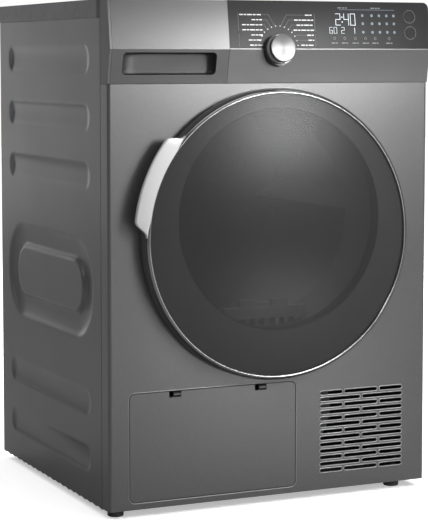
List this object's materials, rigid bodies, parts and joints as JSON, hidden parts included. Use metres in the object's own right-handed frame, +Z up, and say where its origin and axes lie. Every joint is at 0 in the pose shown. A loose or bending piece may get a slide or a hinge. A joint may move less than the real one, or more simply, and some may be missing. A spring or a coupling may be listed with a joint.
{
  "type": "clothes dryer",
  "caption": "Free-standing front-loading heat-pump clothes dryer with a round smoked-glass door, water tank drawer, programme knob, service flap and vent grille.",
  "frame": {"origin": "on the floor at the middle of the machine's width and depth", "axes": "+X to the right seen from the front, +Y to the back, +Z up"},
  "size_m": [0.595, 0.598, 0.848],
  "materials": {
    "cabinet_paint": "fine metallic grey enamel, satin",
    "side_paint": "fine metallic grey enamel, satin",
    "zinc_sheet": "galvanised sheet",
    "worktop_laminate": "fine-textured grey laminate",
    "fascia_silver": "silver-grey lacquered plastic",
    "drawer_silver": "silver-grey lacquered plastic",
    "overlay_dark": "smoked, lightly glossy",
    "electronics_black": "black case",
    "knob_seat_dark": "dark ring",
    "knob_silver": "satin",
    "knob_aluminium": "spun finish",
    "button_dark": "dark, satin",
    "grip_dark": "black, fine grain",
    "tank_clear": "translucent white",
    "carrier_grey": "moulded grey",
    "tray_black": "moulded black",
    "seal_rubber": "matt",
    "felt": "dense felt",
    "foot_rubber": "matt",
    "fin_aluminium": "bare",
    "compressor_black": "black enamel",
    "motor_steel": "cast",
    "hinge_steel": "zinc plated",
    "shaft_steel": "ground",
    "belt_rubber": "ribbed",
    "door_paint": "grey lacquered plastic",
    "ring_chrome": "polished",
    "handle_silver": "bright satin",
    "door_glass": "smoked",
    "bowl_clear": "clear",
    "liner_black": "black",
    "filter_grey": "grey lattice",
    "drum_steel": "stainless",
    "lifter_grey": "moulded",
    "screw_steel": "zinc plated"
  },
  "bodies": {
    "cabinet": {"left_side_panel": "side_paint", "right_side_panel": "side_paint", "front_panel": "cabinet_paint", "rear_panel": "zinc_sheet", "rear_duct_cover": "zinc_sheet", "worktop": "worktop_laminate", "front_crossbar": "tray_black", "front_bulkhead": "carrier_grey", "loading_tunnel": "carrier_grey", "drum_front_seal": "felt", "door_seal": "seal_rubber", "control_fascia": "fascia_silver", "control_overlay": "overlay_dark", "control_electronics": "electronics_black", "knob_seat": "knob_seat_dark", "tank_housing": "carrier_grey", "base_tray": "tray_black", "rear_feet": "foot_rubber", "heat_exchangers": "fin_aluminium", "exchanger_cover": "carrier_grey", "compressor": "compressor_black", "condensate_pump": "tray_black", "air_duct": "tray_black", "blower_housing": "carrier_grey", "motor_housing": "motor_steel", "rear_bearing_housing": "motor_steel", "drive_belt": "belt_rubber", "door_lock": "electronics_black", "door_hinge_bracket": "hinge_steel", "cable_gland": "grip_dark", "drain_spigot": "grip_dark", "panel_screws": "screw_steel"},
    "door": {"door_frame": "door_paint", "door_ring": "ring_chrome", "door_handle": "handle_silver", "door_glass": "door_glass", "door_liner": "liner_black", "door_bowl": "bowl_clear", "door_hinge_arm": "hinge_steel", "door_latch_hook": "grip_dark"},
    "water_tank": {"tank_front": "drawer_silver", "tank_grip": "grip_dark", "tank_body": "tank_clear"},
    "service_flap": {"service_flap": "cabinet_paint"},
    "flap_latch_left": {"flap_latch_left": "button_dark"},
    "flap_latch_right": {"flap_latch_right": "button_dark"},
    "programme_knob": {"knob_body": "knob_silver", "knob_cap": "knob_aluminium"},
    "power_button": {"power_button": "button_dark"},
    "start_button": {"start_button": "button_dark"},
    "lint_filter": {"lint_filter": "filter_grey"},
    "drum": {"drum_shell": "drum_steel", "drum_rear_plate": "drum_steel", "drum_lifters": "lifter_grey"},
    "motor_rotor": {"motor_shaft": "shaft_steel", "blower_wheel": "tray_black"},
    "front_roller_left": {"front_roller_left": "seal_rubber"},
    "front_roller_right": {"front_roller_right": "seal_rubber"},
    "foot_front_left": {"foot_front_left": "foot_rubber"},
    "foot_front_right": {"foot_front_right": "foot_rubber"}
  },
  "joints": [
    {"name": "door_hinge", "type": "hinge", "parent": "cabinet", "child": "door", "pos_m": [0.242, -0.266, 0.4584], "axis": [0, 0, 1], "range_deg": [0, 160]},
    {"name": "water_tank_slide", "type": "slide", "parent": "cabinet", "child": "water_tank", "axis": [0, -1, 0], "range_m": [0, 0.32]},
    {"name": "service_flap_hinge", "type": "hinge", "parent": "cabinet", "child": "service_flap", "pos_m": [-0.1092, -0.2495, 0.036], "axis": [1, 0, 0], "range_deg": [0, 90]},
    {"name": "flap_latch_left_slide", "type": "slide", "parent": "service_flap", "child": "flap_latch_left", "axis": [-1, 0, 0], "range_m": [0, 0.005], "stiffness_N_per_m": 150},
    {"name": "flap_latch_right_slide", "type": "slide", "parent": "service_flap", "child": "flap_latch_right", "axis": [-1, 0, 0], "range_m": [0, 0.005], "stiffness_N_per_m": 150},
    {"name": "knob_turn", "type": "hinge", "parent": "cabinet", "child": "programme_knob", "pos_m": [0.003, -0.262, 0.7655], "axis": [0, -0.9848, 0.1736], "continuous": true},
    {"name": "power_button_press", "type": "slide", "parent": "cabinet", "child": "power_button", "axis": [0, 0.9901, -0.1406], "range_m": [0, 0.0015], "stiffness_N_per_m": 400},
    {"name": "start_button_press", "type": "slide", "parent": "cabinet", "child": "start_button", "axis": [0, 0.9901, -0.1406], "range_m": [0, 0.0015], "stiffness_N_per_m": 400},
    {"name": "lint_filter_lift", "type": "slide", "parent": "cabinet", "child": "lint_filter", "axis": [0, 0, 1], "range_m": [0, 0.12]},
    {"name": "drum_spin", "type": "hinge", "parent": "cabinet", "child": "drum", "pos_m": [0, 0, 0.4854], "axis": [0, 1, 0], "continuous": true},
    {"name": "motor_spin", "type": "hinge", "parent": "cabinet", "child": "motor_rotor", "pos_m": [0.095, 0, 0.13], "axis": [0, 1, 0], "continuous": true},
    {"name": "front_roller_left_spin", "type": "hinge", "parent": "cabinet", "child": "front_roller_left", "pos_m": [-0.14165, -0.179, 0.24005], "axis": [0, 1, 0], "continuous": true},
    {"name": "front_roller_right_spin", "type": "hinge", "parent": "cabinet", "child": "front_roller_right", "pos_m": [0.14165, -0.179, 0.24005], "axis": [0, 1, 0], "continuous": true},
    {"name": "foot_front_left_screw", "type": "slide", "parent": "cabinet", "child": "foot_front_left", "axis": [0, 0, -1], "range_m": [0, 0.01]},
    {"name": "foot_front_right_screw", "type": "slide", "parent": "cabinet", "child": "foot_front_right", "axis": [0, 0, -1], "range_m": [0, 0.01]}
  ],
  "couplings": [
    {"joint": "motor_spin", "follows": "drum_spin", "ratio": 21.5},
    {"joint": "front_roller_left_spin", "follows": "drum_spin", "ratio": -10.32},
    {"joint": "front_roller_right_spin", "follows": "drum_spin", "ratio": -10.32}
  ]
}
